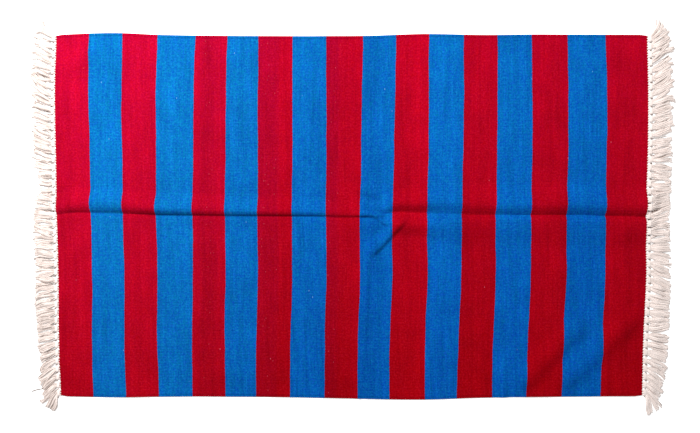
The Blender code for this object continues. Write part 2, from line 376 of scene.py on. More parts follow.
def cloth_shift():
    """From the middle of the cloth, where the tables have their origin, to the row frame."""
    low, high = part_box("woven_field")
    middle_x = (CUT_ENDS["left"].min() + CUT_ENDS["right"].max()) / 2
    middle_y = (LONG_EDGES["lower"].min() + LONG_EDGES["upper"].max()) / 2
    return np.array([(low.x + high.x) / 2 - middle_x, (low.y + high.y) / 2 - middle_y, 0.0])


SHIFT = cloth_shift()


def held(value):
    """The value, held between 0 and 1."""
    return np.clip(value, 0, 1)


def eased(share):
    """A share from 0 to 1, slow at both of its ends."""
    return share * share * (3 - 2 * share)


def along_curve(rows, key, column, at):
    """A column's values on a smooth curve through the table's rows, ordered by its key column."""
    keys = rows[key]
    values = rows[column]
    slopes = np.gradient(values, keys)
    at = np.clip(at, keys[0], keys[-1])
    index = np.clip(np.searchsorted(keys, at, side="right") - 1, 0, len(keys) - 2)
    span = keys[index + 1] - keys[index]
    share = (at - keys[index]) / span
    start = (1 + 2 * share) * (1 - share) ** 2 * values[index]
    end = eased(share) * values[index + 1]
    pulls = share * (1 - share) * span * ((1 - share) * slopes[index] - share * slopes[index + 1])
    return start + end + pulls


# How the cloth lies ----------------------------------------------------------------------------------


def fold_height(x, y):
    """How far the fold across the middle lifts the cloth."""
    offset = y - along_curve(FOLD_LINE, "along", "line", x)
    away = np.abs(offset)
    sharpness = along_curve(FOLD_LINE, "along", "sharpness", x)
    total = np.zeros_like(offset)
    for side, here in (("upper", offset >= 0), ("lower", offset < 0)):
        height = along_curve(FOLD_LINE, "along", f"{side}_height", x)
        crest = along_curve(FOLD_LINE, "along", f"{side}_crest", x)
        foot = along_curve(FOLD_LINE, "along", f"{side}_foot", x)
        rise = np.sin(0.5 * math.pi * held(away / crest) ** sharpness)
        fall = np.cos(0.5 * math.pi * held((away - crest) / (foot - crest))) ** 2
        total = np.where(here, height * np.where(away < crest, rise, fall), total)
    return total


def ripple_height(row, x, y):
    """How far one ripple lifts the cloth."""
    run_x = row["to_x"] - row["from_x"]
    run_y = row["to_y"] - row["from_y"]
    length = math.hypot(run_x, run_y)
    along = ((x - row["from_x"]) * run_x + (y - row["from_y"]) * run_y) / length**2
    aside = ((x - row["from_x"]) * run_y - (y - row["from_y"]) * run_x) / length
    width = np.where(aside > 0, row["right_width"], row["left_width"])
    past_core = np.maximum(0.0, np.abs(2 * along - 1) - RIPPLE_CORE)
    spread = (aside / width) ** 2 + past_core**2 / RIPPLE_TAPER
    return row["height"] * np.maximum(0.0, 1 - spread) ** 2


def soft_waves(x, y, seed, count, wavelength, height):
    """A smooth uneven surface between 0 and twice the height, from a few waves at odd angles."""
    draw = np.random.default_rng(seed)
    total = np.zeros_like(x)
    for _ in range(count):
        angle = draw.uniform(0, math.pi)
        turns = 2 * math.pi / (wavelength * draw.uniform(0.6, 1.6))
        run = x * math.cos(angle) + y * math.sin(angle)
        total += np.sin(turns * run + draw.uniform(0, 2 * math.pi))
    return height * (1 + np.clip(total / math.sqrt(count), -1, 1))


def edge_flutter(x, y):
    """The long edges don't lie quite flat: they lift a little here and there."""
    lower = y - along_curve(LONG_EDGES, "along", "lower", x)
    upper = along_curve(LONG_EDGES, "along", "upper", x) - y
    near = held(1 - np.minimum(lower, upper) / FLUTTER_RUN) ** 2
    return near * soft_waves(x, y * FLUTTER_ACROSS, seed=21, count=5, wavelength=0.16, height=0.0009)


def lift(x, y):
    """The height of the cloth's underside above the floor."""
    uneven = soft_waves(x, y, seed=4, count=9, wavelength=0.11, height=0.00022)
    total = fold_height(x, y) + edge_flutter(x, y) + uneven
    for row in RIPPLES:
        total = total + ripple_height(row, x, y)
    return total


def lift_at(x, y):
    """The height of the cloth's underside at a single place."""
    return float(lift(np.array(x), np.array(y)))


# Meshes ----------------------------------------------------------------------------------------------


def mesh_object(name, points, quads, triangles=NO_TRIANGLES, **point_values):
    """An object from points, faces with four and with three sides, and named values at its points."""
    corners = np.concatenate([quads.ravel(), triangles.ravel()])
    starts = np.concatenate([np.arange(len(quads)) * 4, quads.size + np.arange(len(triangles)) * 3])
    mesh = bpy.data.meshes.new(name)
    mesh.vertices.add(len(points))
    mesh.vertices.foreach_set("co", (points + SHIFT).astype(np.float32).ravel())
    mesh.loops.add(len(corners))
    mesh.loops.foreach_set("vertex_index", corners.astype(np.int32))
    mesh.polygons.add(len(starts))
    mesh.polygons.foreach_set("loop_start", starts.astype(np.int32))
    mesh.update(calc_edges=True)
    mesh.validate()
    mesh.shade_smooth()
    for key, values in point_values.items():
        kind, field = ("FLOAT_VECTOR", "vector") if values.ndim == 2 else ("FLOAT", "value")
        made = mesh.attributes.new(key, kind, "POINT")
        made.data.foreach_set(field, values.astype(np.float32).ravel())
    obj = bpy.data.objects.new(name, mesh)
    bpy.context.scene.collection.objects.link(obj)
    return obj


def grid_faces(rows, columns, start=0, wrap=False):
    """Faces between neighbouring points of a grid stored row by row, closed round each row if wrapped."""
    last = columns if wrap else columns - 1
    row, column = np.meshgrid(np.arange(rows - 1), np.arange(last), indexing="ij")
    after = (column + 1) % columns
    here = row * columns
    above = (row + 1) * columns
    corners = (here + column, here + after, above + after, above + column)
    return start + np.stack(corners, axis=-1).reshape(-1, 4)


def border_faces(rows, columns):
    """Faces round the border of a grid, down to a second grid stored after it."""
    index = np.arange(rows * columns).reshape(rows, columns)
    border = np.concatenate([index[0, :-1], index[:-1, -1], index[-1, :0:-1], index[:0:-1, 0]])
    following = np.roll(border, -1)
    down = rows * columns
    return np.stack([following, border, border + down, following + down], axis=-1)


# The woven field -------------------------------------------------------------------------------------


def stripe_widths():
    """The stripe plan in metres: a row for the lower edge, the middle and the upper edge."""
    return np.stack([STRIPES["lower"], STRIPES["middle"], STRIPES["upper"]]) / 1000


def weft_columns():
    """Stripe coordinates of the mesh columns: stripe number plus the share across that stripe."""
    columns = []
    for stripe in range(len(STRIPES)):
        count = COLUMNS_AT_CREASES.get(stripe, COLUMNS_PER_STRIPE)
        columns += list(stripe + np.arange(count) / count)
    rim = np.array([inset for inset, _ in RIM[1:]]) / stripe_widths()[1, 0]
    columns = [column for column in columns if column == 0 or column > rim[-1] * 2]
    return np.array(sorted(columns + list(rim) + [len(STRIPES)] + list(len(STRIPES) - rim)))


def warp_rows():
    """Shares of the width at which the mesh rows lie, and how high each is on its rib, from 0 to 1."""
    steps = np.arange(RIB_COUNT * ROWS_PER_RIB + 1)
    shares = steps / steps[-1]
    heights = np.where(steps % ROWS_PER_RIB == 0, 0.0, 1.0)
    rim = np.array([inset for inset, _ in RIM]) / CLOTH_WIDTH
    clear = rim[-1] * 1.5
    inner = (shares > clear) & (shares < 1 - clear)
    all_shares = np.concatenate([rim, shares[inner], 1 - rim[::-1]])
    all_heights = np.concatenate([np.ones(len(rim)), heights[inner], np.ones(len(rim))])
    return all_shares, all_heights


def stripe_edges(shares):
    """How far from the left cut end each stripe edge lies, for each share of the width."""
    sums = np.concatenate([np.zeros((3, 1)), stripe_widths().cumsum(axis=1)], axis=1)
    low = (1 - shares) * (1 - 2 * shares)
    middle = 4 * shares * (1 - shares)
    high = shares * (2 * shares - 1)
    edges = low[:, None] * sums[0] + middle[:, None] * sums[1] + high[:, None] * sums[2]
    draw = np.random.default_rng(8)
    for edge in range(1, len(STRIPES)):
        for waves, size in EDGE_WAVER:
            phase = draw.uniform(0, 2 * math.pi)
            turns = waves * draw.uniform(0.8, 1.2) * 2 * math.pi
            edges[:, edge] += size * np.sin(turns * shares + phase)
    return edges


def field_places():
    """The flat places of the cloth's grid, its weave coordinates, and each row's height on its rib."""
    columns = weft_columns()
    shares, rib_heights = warp_rows()
    stripe = np.arange(len(STRIPES) + 1)
    run = np.stack([np.interp(columns, stripe, edges) for edges in stripe_edges(shares)])
    run_share = run / run[:, -1:]
    guide_x = (run_share - 0.5) * (CUT_ENDS["right"].max() - CUT_ENDS["left"].min())
    lower = along_curve(LONG_EDGES, "along", "lower", guide_x)
    upper = along_curve(LONG_EDGES, "along", "upper", guide_x)
    y = lower + shares[:, None] * (upper - lower)
    left = along_curve(CUT_ENDS, "across", "left", y)
    right = along_curve(CUT_ENDS, "across", "right", y)
    x = left + run_share * (right - left)
    near_end = held(1 - np.minimum(x - left, right - x) / CORNER_RUN)
    near_side = held(1 - np.minimum(y - lower, upper - y) / CORNER_WIDTH)
    y = y - np.sign(y) * CORNER_DROP * near_end**2 * near_side
    tooth = held(1 - np.minimum(x - left, right - x) / TOOTH_RUN)
    x = x + np.sign(x) * tooth * TOOTH_LENGTH * (rib_heights[:, None] - 0.5)
    width = upper.mean() - lower.mean()
    across = np.broadcast_to(shares[:, None] * width, run.shape)
    weave = np.stack([run, across, np.broadcast_to(columns, run.shape)], axis=-1)
    return x, y, weave, rib_heights


def half_thickness(x, rib_heights):
    """Half the cloth's thickness over its grid: less in the grooves, and rounded at the rim."""
    rows, columns = x.shape
    half = np.full((rows, columns), CLOTH_THICKNESS / 2)
    half -= RIB_GROOVE * (1 - rib_heights)[:, None]
    for index, (_, share) in enumerate(RIM):
        half[index] *= share
        half[rows - 1 - index] *= share
        half[:, index] *= share
        half[:, columns - 1 - index] *= share
    return half


def cloth_normals(x, y):
    """The upward directions square to the cloth as it lies."""
    slope_x = (lift(x + SLOPE_STEP, y) - lift(x - SLOPE_STEP, y)) / (2 * SLOPE_STEP)
    slope_y = (lift(x, y + SLOPE_STEP) - lift(x, y - SLOPE_STEP)) / (2 * SLOPE_STEP)
    normal = np.stack([-slope_x, -slope_y, np.ones_like(x)], axis=-1)
    return normal / np.linalg.norm(normal, axis=-1, keepdims=True)


def woven_field():
    """The cloth: one closed sheet with its ribs on both faces, laid over its folds."""
    x, y, weave, rib_heights = field_places()
    middle = np.stack([x, y, lift(x, y) + CLOTH_THICKNESS / 2], axis=-1)
    offset = cloth_normals(x, y) * half_thickness(x, rib_heights)[..., None]
    top = (middle + offset).reshape(-1, 3)
    under = (middle - offset).reshape(-1, 3)
    rows, columns = x.shape
    top_faces = grid_faces(rows, columns)
    under_faces = grid_faces(rows, columns, rows * columns)[:, ::-1]
    flat_weave = weave.reshape(-1, 3)
    return mesh_object(
        "cloth",
        np.concatenate([top, under]),
        np.concatenate([top_faces, under_faces, border_faces(rows, columns)]),
        weave=np.concatenate([flat_weave, flat_weave]),
    )


# The fringe ------------------------------------------------------------------------------------------


def directions(path):
    """The direction of a path at each of its points."""
    tangent = np.gradient(path, axis=0)
    return tangent / np.linalg.norm(tangent, axis=1, keepdims=True)


def ring_points(path, radius, sides, first_axis, second_axis):
    """The points round each point of a path, in the plane of its two axes there."""
    angle = np.arange(sides) * 2 * math.pi / sides
    cosine = np.cos(angle)[None, :, None]
    sine = np.sin(angle)[None, :, None]
    return path[:, None, :] + radius * (cosine * first_axis[:, None, :] + sine * second_axis[:, None, :])


class Tubes:
    """Many tubes gathered into one mesh."""

    def __init__(self):
        self.points = []
        self.quads = []
        self.triangles = []
        self.shades = []
        self.count = 0

    def gather(self, ring, tips, shade, flip):
        """Take in one tube: rings of points, then a tip at each end, with the faces over them."""
        rings, sides = ring.shape[:2]
        walls = grid_faces(rings, sides, self.count, wrap=True)
        first = self.count + np.arange(sides)
        last = first + (rings - 1) * sides
        near_tip = self.count + rings * sides
        self.points.append(np.concatenate([ring.reshape(-1, 3), tips]))
        self.quads.append(walls[:, ::-1] if flip else walls)
        near_loop, far_loop = (first, last[::-1]) if flip else (first[::-1], last)
        for loop, tip in ((near_loop, near_tip), (far_loop, near_tip + 1)):
            self.triangles.append(np.stack([loop, np.roll(loop, -1), np.full(sides, tip)], axis=-1))
        along = np.broadcast_to(np.asarray(shade, float), rings)
        self.shades.append(np.concatenate([np.repeat(along, sides), along[[0, -1]]]))
        self.count += rings * sides + 2

    def add(self, path, radii, sides, shade, lobe=0.0, turns=0.0, phase=0.0):
        """A closed tube along a path, with two twisted plies where lobe is above 0."""
        tangent = directions(path)
        across = np.cross([0.0, 0.0, 1.0], tangent)
        across /= np.maximum(np.linalg.norm(across, axis=1, keepdims=True), 1e-6)
        up = np.cross(tangent, across)
        angle = np.arange(sides) * 2 * math.pi / sides
        travelled = np.concatenate([[0], np.linalg.norm(np.diff(path, axis=0), axis=1).cumsum()])
        twist = phase + turns * 2 * math.pi * travelled[:, None]
        radius = radii[:, None] * (1 + lobe * np.cos(2 * (angle - twist)))
        ring = ring_points(path, radius[..., None], sides, across, up)
        near_tip = path[0] - tangent[0] * radii[0] * TIP_BULGE
        far_tip = path[-1] + tangent[-1] * radii[-1] * TIP_BULGE
        self.gather(ring, np.stack([near_tip, far_tip]), shade, flip=True)

    def add_coil(self, path, radius, sides, shade):
        """A closed tube along a path that winds round its own middle."""
        tangent = directions(path)
        away = path - path.mean(axis=0)
        away -= (away * tangent).sum(axis=1, keepdims=True) * tangent
        away /= np.linalg.norm(away, axis=1, keepdims=True)
        ring = ring_points(path, radius, sides, away, np.cross(tangent, away))
        self.gather(ring, path[[0, -1]], shade, flip=False)

    def build(self, name):
        """One object from all the tubes."""
        return mesh_object(
            name,
            np.concatenate(self.points),
            np.concatenate(self.quads),
            np.concatenate(self.triangles),
            strand=np.concatenate(self.shades),
        )


class CutEnd:
    """One cut end of the cloth: which way its fringe points, and how its tassels lean and reach."""

    def __init__(self, side, way, leans):
        self.side = side
        self.way = way
        self.leans = leans

    def x(self, y):
        """Where the cloth ends."""
        return float(along_curve(CUT_ENDS, "across", self.side, y))

    def lean_deg(self, y):
        """How far the tassels lean, in degrees."""
        return float(along_curve(self.leans, "across", "lean_deg", y))

    def reach(self, y):
        """How far the tassels reach past the knots."""
        return float(along_curve(self.leans, "across", "reach", y)) - KNOT_OUT


def tassel_roots():
    """Where the knots sit across the cut end, and the distance between them."""
    lower, upper = CUT_ENDS["across"][0], CUT_ENDS["across"][-1]
    pitch = (upper - lower) / TASSEL_COUNT
    return lower + pitch * (np.arange(TASSEL_COUNT) + 0.5), pitch


def strand_aside(draw, tassel, clump, strand, out, swell):
    """How far one strand lies to the side of its tassel's middle line, from knot to tip."""
    slot = (strand - (clump.strands - 1) / 2) * STRAND_GAP
    spread = clump.place * CLUMP_GAP * tassel.pitch + slot
    if strand == clump.strands:
        slot = 0.0
        spread = (clump.place + 0.5) * UNDER_GAP * tassel.pitch
    root = clump.place * ROOT_CLUMP_GAP + slot * ROOT_STRAND_SHARE
    aside = root + (spread - root) * swell
    wave = draw.normal(0, STRAND_WAVE_SPREAD)
    wave = wave * np.sin(math.pi * out * draw.uniform(1.5, 3.5) + draw.uniform(0, 3))
    curl = (clump.hook + draw.normal(0, STRAND_CURL_SPREAD)) * held((out - 0.65) / 0.35) ** 2
    gathered = min(1.0, 0.5 + 0.5 * math.cos(tassel.lean) + 0.4 * tassel.corner)
    return aside * gathered + clump.bow * np.sin(math.pi * out) + wave * out + curl


def strand_height(tassel, clump, strand, out, swell):
    """The height of one strand's middle, from the knot down to the floor."""
    layer = (strand + clump.index) % 2
    floor_z = STRAND_RADIUS * (LOWER_LAYER + LAYER_STEP * layer * (1 - 0.3 * swell))
    loft = clump.loft * np.sin(math.pi * out**0.8) ** 2
    if strand == clump.strands:
        floor_z = STRAND_RADIUS * UNDER_LAYER
        loft = 0.0
    knot_z = tassel.lift + KNOT_HEIGHT + (layer - 0.6) * STRAND_RADIUS
    fall = 0.5 + 0.5 * np.cos(math.pi * held(out * tassel.length / FALL_LENGTH))
    return floor_z + (knot_z - floor_z) * fall + loft


def add_strand(tubes, draw, tassel, clump, strand, painted_light_grey):
    """One strand of a clump; the last one lies under the others, darkened with painted shade."""
    under = strand == clump.strands
    out = np.linspace(0, 1, UNDER_RINGS if under else STRAND_RINGS)
    swell = np.sin(0.5 * math.pi * held(out * SWELL_RATE))
    length = clump.length * (1 + draw.normal(0, STRAND_LENGTH_SPREAD)) * (UNDER_LENGTH if under else 1.0)
    aside = strand_aside(draw, tassel, clump, strand, out, swell)
    tilt = tassel.lean * out
    run_x = length * math.cos(clump.lean) * out
    run_y = length * math.sin(clump.lean) * out**1.25
    path_x = tassel.x + tassel.way * (KNOT_OUT + run_x - aside * np.sin(tilt))
    path_y = tassel.y + run_y + aside * np.cos(tilt)
    path_z = strand_height(tassel, clump, strand, out, swell)
    radii = STRAND_RADIUS * (0.80 + 0.20 * swell) * draw.uniform(0.85, 1.12)
    radii = radii * (1 - 0.25 * held((out - 0.96) / 0.04))
    # Painted light grey for the cut end, a random grey, and painted shade on the first strand of each clump;
    # the strand under the clump takes a darker painted shade.
    shade = painted_light_grey + draw.uniform(0, 0.35) + (FIRST_STRAND_PAINTED_SHADE if strand == 0 else 0.0)
    if under:
        shade = draw.uniform(*UNDER_PAINTED_SHADES)
    tubes.add(
        np.stack([path_x, path_y, path_z], axis=-1),
        radii,
        STRAND_SIDES,
        shade,
        lobe=PLY_LOBE,
        turns=1 / TWIST_LENGTH,
        phase=draw.uniform(0, 6),
    )


def add_strands(tubes, draw, end, y, pitch, painted_light_grey):
    """The cut warp ends of one tassel: loose clumps over a flat layer of ends on the floor, darkened with
    painted shade.
    """
    lean = math.radians(end.lean_deg(y) + draw.normal(0, TASSEL_LEAN_SPREAD))
    tassel = SimpleNamespace(x=end.x(y), y=y, way=end.way, pitch=pitch, lean=lean)
    tassel.lift = lift_at(tassel.x, y)
    tassel.length = end.reach(y) / math.cos(lean)
    tassel.corner = max(0.0, (abs(y) - CUT_ENDS["across"][-1]) / pitch + CORNER_TASSELS)
    clumps = CLUMPS + CLUMPS[:1] * round(tassel.corner)
    fan = CLUMP_FAN + CORNER_FAN * tassel.corner
    for index, strands in enumerate(clumps):
        clump = SimpleNamespace(index=index, strands=strands, place=index - (len(clumps) - 1) / 2)
        clump.lean = lean + math.radians(draw.normal(fan * clump.place, CLUMP_LEAN_SPREAD))
        clump.length = tassel.length * (1 + draw.normal(0, CLUMP_LENGTH_SPREAD))
        clump.bow = draw.normal(0, CLUMP_BOW_SPREAD)
        clump.hook = draw.normal(CLUMP_HOOK, CLUMP_HOOK_SPREAD)
        clump.loft = abs(draw.normal(0, CLUMP_LOFT_SPREAD))
        for strand in range(strands + 1):
            add_strand(tubes, draw, tassel, clump, strand, painted_light_grey)


def add_shadow_crease(tubes, draw, end, y, pitch, painted_light_grey):
    """A painted shadow line between two tassels: a thin dark tube, darkest in the hollow between their
    knots.
    """
    between = y - 0.5 * pitch
    lean = math.radians(end.lean_deg(between) + draw.normal(0, 2.0))
    reach = end.reach(between)
    # Long painted shadow lines come more often where the painted light grey is higher.
    share = draw.uniform(0.35, 0.95) if draw.random() < 0.25 + painted_light_grey else HOLLOW_SHARE
    out = np.linspace(0, share, 14)
    path_x = end.x(y) + end.way * (KNOT_OUT - 0.0010 + reach * out)
    path_y = between + draw.normal(0, 0.0007) + reach * math.tan(lean) * out**1.2
    path_z = 0.0026 + 0.0042 * held(out / 0.2)
    radii = draw.uniform(0.0014, 0.0020) * (1 - 0.4 * held(out / 0.15))
    # Painted shadow, near black in the hollow between the knots and lighter further out.
    shade = draw.uniform(1.70, 2.0) - 0.45 * held(out / 0.3)
    tubes.add(np.stack([path_x, path_y, path_z], axis=-1), radii, YARN_SIDES, shade)


def add_knot(tubes, draw, end, y, pitch):
    """One knot: turns of yarn round the bundle, and the warps that run into it."""
    end_x = end.x(y)
    knot_z = lift_at(end_x, y) + KNOT_HEIGHT
    middle = np.array([end_x + end.way * KNOT_OUT * 0.80, y, knot_z])
    turn = np.linspace(0, KNOT_TURNS * 2 * math.pi, 30)
    tilt = draw.uniform(-0.5, 0.5)
    width = pitch * draw.uniform(0.35, 0.40)
    coil_x = end.way * (turn / turn[-1] - 0.5) * KNOT_LENGTH + 0.0010 * np.sin(turn + tilt)
    coil_y = width * np.cos(turn + tilt)
    coil_z = 0.0016 * np.sin(turn + tilt)
    coil = middle + np.stack([coil_x, coil_y, coil_z], axis=-1)
    tubes.add_coil(coil, KNOT_YARN_RADIUS, YARN_SIDES, draw.uniform(0, 0.4))
    for warp in range(WARPS_PER_KNOT):
        place = warp - (WARPS_PER_KNOT - 1) / 2
        start_y = y + place / WARPS_PER_KNOT * pitch
        start_z = lift_at(end_x, start_y) + 0.6 * CLOTH_THICKNESS
        out = np.linspace(0, 1, 6)
        path_x = end_x + end.way * (-0.0010 + (KNOT_OUT + 0.0004) * out)
        path_y = start_y + (y + place * WARP_GAP_IN_KNOT - start_y) * eased(out)
        path_z = start_z + (knot_z - start_z) * out
        radii = WARP_RADIUS * (0.55 + 0.45 * held(out / 0.4))
        tubes.add(np.stack([path_x, path_y, path_z], axis=-1), radii, YARN_SIDES, draw.uniform(0, 0.5))


def add_stray(tubes):
    """The loose thread that lies past the lower left corner."""
    out = np.linspace(0, 1, 12)
    path_x = -0.780 - 0.031 * out
    path_y = -0.4402 - 0.0068 * out**2
    path_z = np.full(len(out), 0.0018)
    tubes.add(np.stack([path_x, path_y, path_z], axis=-1), np.full(len(out), 0.0011), STRAND_SIDES, 1.75)


def fringe(side, way, leans, seed, painted_light_greys):
    """The knots with the painted shadow tubes between them, and the tassels of one cut end, as two objects.
    """
    draw = np.random.default_rng(seed)
    end = CutEnd(side, way, leans)
    knots, tassels = Tubes(), Tubes()
    roots, pitch = tassel_roots()
    for y in roots.tolist():
        # Painted light, read along the cut end: greyer on the strongly lit left fringe and upper right,
        # whiter at the lower right where the key light is weaker.
        painted_light_grey = float(np.interp(y, roots[[0, -1]], painted_light_greys))
        add_knot(knots, draw, end, y, pitch)
        add_shadow_crease(knots, draw, end, y, pitch, painted_light_grey)
        add_strands(tassels, draw, end, y, pitch, painted_light_grey)
    if side == "left":
        add_stray(tassels)
    return knots.build(f"knots_{side}"), tassels.build(f"tassels_{side}")


# Materials -------------------------------------------------------------------------------------------


class Shader:
    """A material under construction, with short ways to add its nodes."""

    def __init__(self, name):
        self.material = bpy.data.materials.new(name)
        self.material.use_nodes = True
        self.tree = self.material.node_tree
        self.surface = self.tree.nodes["Principled BSDF"]

    def node(self, kind, inputs=(), **settings):
        """A node with its inputs linked or set."""
        made = self.tree.nodes.new(f"ShaderNode{kind}")
        for key, value in settings.items():
            setattr(made, key, value)
        for key, value in dict(inputs).items():
            if isinstance(value, bpy.types.NodeSocket):
                self.tree.links.new(value, made.inputs[key])
            elif value is not None:
                made.inputs[key].default_value = value
        return made

    def math(self, operation, first, second=None, third=None):
        return self.node("Math", {0: first, 1: second, 2: third}, operation=operation).outputs[0]

    def span(self, value, low, high, to_low=0.0, to_high=1.0):
        """The value carried from one range to another, held at its ends."""
        inputs = {"Value": value, 1: low, 2: high, 3: to_low, 4: to_high}
        return self.node("MapRange", inputs).outputs[0]

    def noise(self, x, y, scale_x, scale_y, seed, detail):
        """Noise over two lengths, stretched by its two scales."""
        place = self.node(
            "CombineXYZ",
            {0: self.math("MULTIPLY", x, scale_x), 1: self.math("MULTIPLY", y, scale_y), 2: seed},
        ).outputs[0]
        return self.node("TexNoise", {"Vector": place, "Scale": 1.0, "Detail": detail}).outputs[0]

    def vary(self, noise, strength):
        """A factor that follows a noise, up to this much above and below 1."""
        return self.span(noise, 0.25, 0.75, 1 - strength, 1 + strength)

    def blend(self, amount, first, second, kind="MIX"):
        made = self.tree.nodes.new("ShaderNodeMix")
        made.data_type = "RGBA"
        made.blend_type = kind
        for index, value in ((0, amount), (6, first), (7, second)):
            if isinstance(value, bpy.types.NodeSocket):
                self.tree.links.new(value, made.inputs[index])
            else:
                made.inputs[index].default_value = value if index == 0 else (*value, 1)
        return made.outputs[2]

    def tint(self, colour, red, green, blue):
        """A colour with each of its three parts times a number."""
        factors = self.node("CombineColor", {0: red, 1: green, 2: blue}).outputs[0]
        return self.blend(1.0, colour, factors, "MULTIPLY")

    def scale(self, colour, factor):
        """A colour times a number."""
        return self.tint(colour, factor, factor, factor)

    def set(self, **inputs):
        """Links or sets inputs of the surface, named with _ for each space."""
        for key, value in inputs.items():
            socket = self.surface.inputs[key.replace("_", " ")]
            if isinstance(value, bpy.types.NodeSocket):
                self.tree.links.new(value, socket)
            else:
                socket.default_value = value

    def cotton(self, colour, relief, strength, depth):
        """Dull cotton of this colour, roughened by a relief of this strength and depth."""
        bump = self.node("Bump", {"Strength": strength, "Distance": depth, "Height": relief})
        self.set(Base_Color=colour, Roughness=0.95, Specular_IOR_Level=0.0, Normal=bump.outputs[0])
        return self.material


def dye_lots(shader, stripe, lots):
    """The strength and the tint of a dye along the rug, from its table of lots."""
    ramp = shader.node("ValToRGB", {0: shader.math("DIVIDE", stripe, float(len(STRIPES)))})
    points = ramp.color_ramp.elements
    while len(points) < len(lots):
        points.new(0.5)
    for point, lot in zip(points, lots):
        point.position = lot["stripe"] / len(STRIPES)
        point.color = (lot["strength"] / RAMP_TOP, lot["tint"] / RAMP_TOP, 0, 1)
    red, green, _ = shader.node("SeparateColor", {0: ramp.outputs[0]}).outputs
    return shader.math("MULTIPLY", red, RAMP_TOP), shader.math("MULTIPLY", green, RAMP_TOP)


def toothed(shader, stripe, rib, ragged):
    """The stripe coordinate, so shifted that stripe edges are toothed by the ribs and a little ragged."""
    tooth = shader.math("SINE", shader.math("MULTIPLY", rib, 2 * math.pi))
    at = shader.math("MULTIPLY_ADD", tooth, TOOTH_SHIFT, stripe)
    return shader.math("MULTIPLY_ADD", ragged, RAGGED_SHIFT, shader.math("SUBTRACT", at, RAGGED_SHIFT / 2))


def crimson_dye(shader, at, painted_light_tilt, hue):
    """The crimson and its strength: violet in some lots, brighter and bluer towards the upper edge as
    painted light, and speckled.
    """
    strength, tint = dye_lots(shader, at, CRIMSON_LOTS)
    brighter = shader.math("MULTIPLY_ADD", painted_light_tilt, 0.08, 1.0)
    bluer = shader.math("MULTIPLY_ADD", painted_light_tilt, 0.50, 1.0)
    colour = shader.tint(shader.blend(tint, CRIMSON, CRIMSON_VIOLET), brighter, brighter, bluer)
    colour = shader.scale(colour, strength)
    return shader.tint(colour, 1.0, 1.0, shader.vary(hue, 0.45)), strength


def blue_dye(shader, at, painted_light_tilt, noises):
    """The blue: greener in some lots, greener towards the upper edge as painted light, and speckled."""
    strength, tint = dye_lots(shader, at, BLUE_LOTS)
    tint = shader.math("MULTIPLY_ADD", painted_light_tilt, 0.35, tint)
    colour = shader.scale(shader.blend(tint, BLUE, BLUE_GREEN), strength)
    streaky = shader.math("MULTIPLY", shader.vary(noises["hue"], 0.40), shader.vary(noises["fine"], 0.10))
    return shader.tint(colour, 1.0, streaky, shader.vary(noises["middle"], 0.05))


def seam_shade(shader, at, across):
    """Painted shade where two colours meet in a small step, and in the groove beside each selvedge."""
    from_middle = shader.math("ABSOLUTE", shader.math("SUBTRACT", shader.math("FRACT", at), 0.5))
    step = shader.span(shader.math("SUBTRACT", 0.5, from_middle), 0.0, 0.016, 0.66, 1.0)
    to_edge = shader.math("MINIMUM", across, shader.math("SUBTRACT", CLOTH_WIDTH, across))
    to_groove = shader.math("ABSOLUTE", shader.math("SUBTRACT", to_edge, SELVEDGE))
    return shader.math("MULTIPLY", step, shader.span(to_groove, 0.0, 0.0022, 0.72, 1.0))


def weave_light(shader, rib, is_blue, noises):
    """How light the weave is: streaks, grain and clouds, and broken lines of painted shade in the grooves
    between its ribs.
    """
    light = 1.0
    for name, strength in STREAKS.items():
        light = shader.math("MULTIPLY", light, shader.vary(noises[name], strength))
    ridge = shader.math("ABSOLUTE", shader.math("COSINE", shader.math("MULTIPLY", rib, math.pi)))
    broken = shader.span(noises["broken"], 0.35, 0.65)
    # Painted shade in the rib grooves, deeper on the blue.
    groove_shade = shader.math("MULTIPLY", shader.math("POWER", ridge, 6.0), broken)
    depth = shader.math("MULTIPLY_ADD", is_blue, 0.10, 0.06)
    ribs = shader.math("MULTIPLY_ADD", groove_shade, shader.math("MULTIPLY", depth, -1.0), 1.02)
    return shader.math("MULTIPLY", light, ribs)


def lint(shader, along, across, scale, size, chance, seed):
    """Small pale neps of cotton caught in the weave."""
    place = shader.node("CombineXYZ", {0: along, 1: across, 2: seed}).outputs[0]
    cells = shader.node("TexVoronoi", {"Vector": place, "Scale": scale}, voronoi_dimensions="3D")
    pick = shader.node("SeparateColor", {0: cells.outputs["Color"]}).outputs[0]
    chosen = shader.math("LESS_THAN", pick, chance)
    spot = shader.span(cells.outputs["Distance"], size * 0.4, size, 1.0, 0.0)
    return shader.math("MULTIPLY", chosen, spot)


def pale_fibres(shader, noises):
    """How much the palest grain of the weave shows."""
    grain = shader.span(noises["grain"], 0.48, 0.72)
    streaks = shader.span(noises["middle"], 0.3, 0.7, 0.4, 1.0)
    return shader.math("MULTIPLY", shader.math("MULTIPLY", grain, streaks), 0.016)


def lint_amount(shader, along, across, red_strength, is_blue):
    """How much lint shows: round neps, drawn-out ones, and dust on the darkest crimson lots."""
    drawn_out = shader.math("MULTIPLY", across, DRAWN_OUT)
    darkest = shader.span(red_strength, 0.86, 0.80, 0.0, 1.0)
    darkest = shader.math("MULTIPLY", darkest, shader.math("SUBTRACT", 1.0, is_blue))
    dust = shader.math("MULTIPLY", darkest, lint(shader, along, drawn_out, **DUST))
    specks = shader.math("MULTIPLY_ADD", dust, DUST_SHOWS, lint(shader, along, across, **ROUND_NEPS))
    long_neps = lint(shader, along, drawn_out, **LONG_NEPS)
    specks = shader.math("MULTIPLY_ADD", long_neps, LONG_NEPS_SHOW, specks)
    return shader.math("MINIMUM", specks, 0.6)


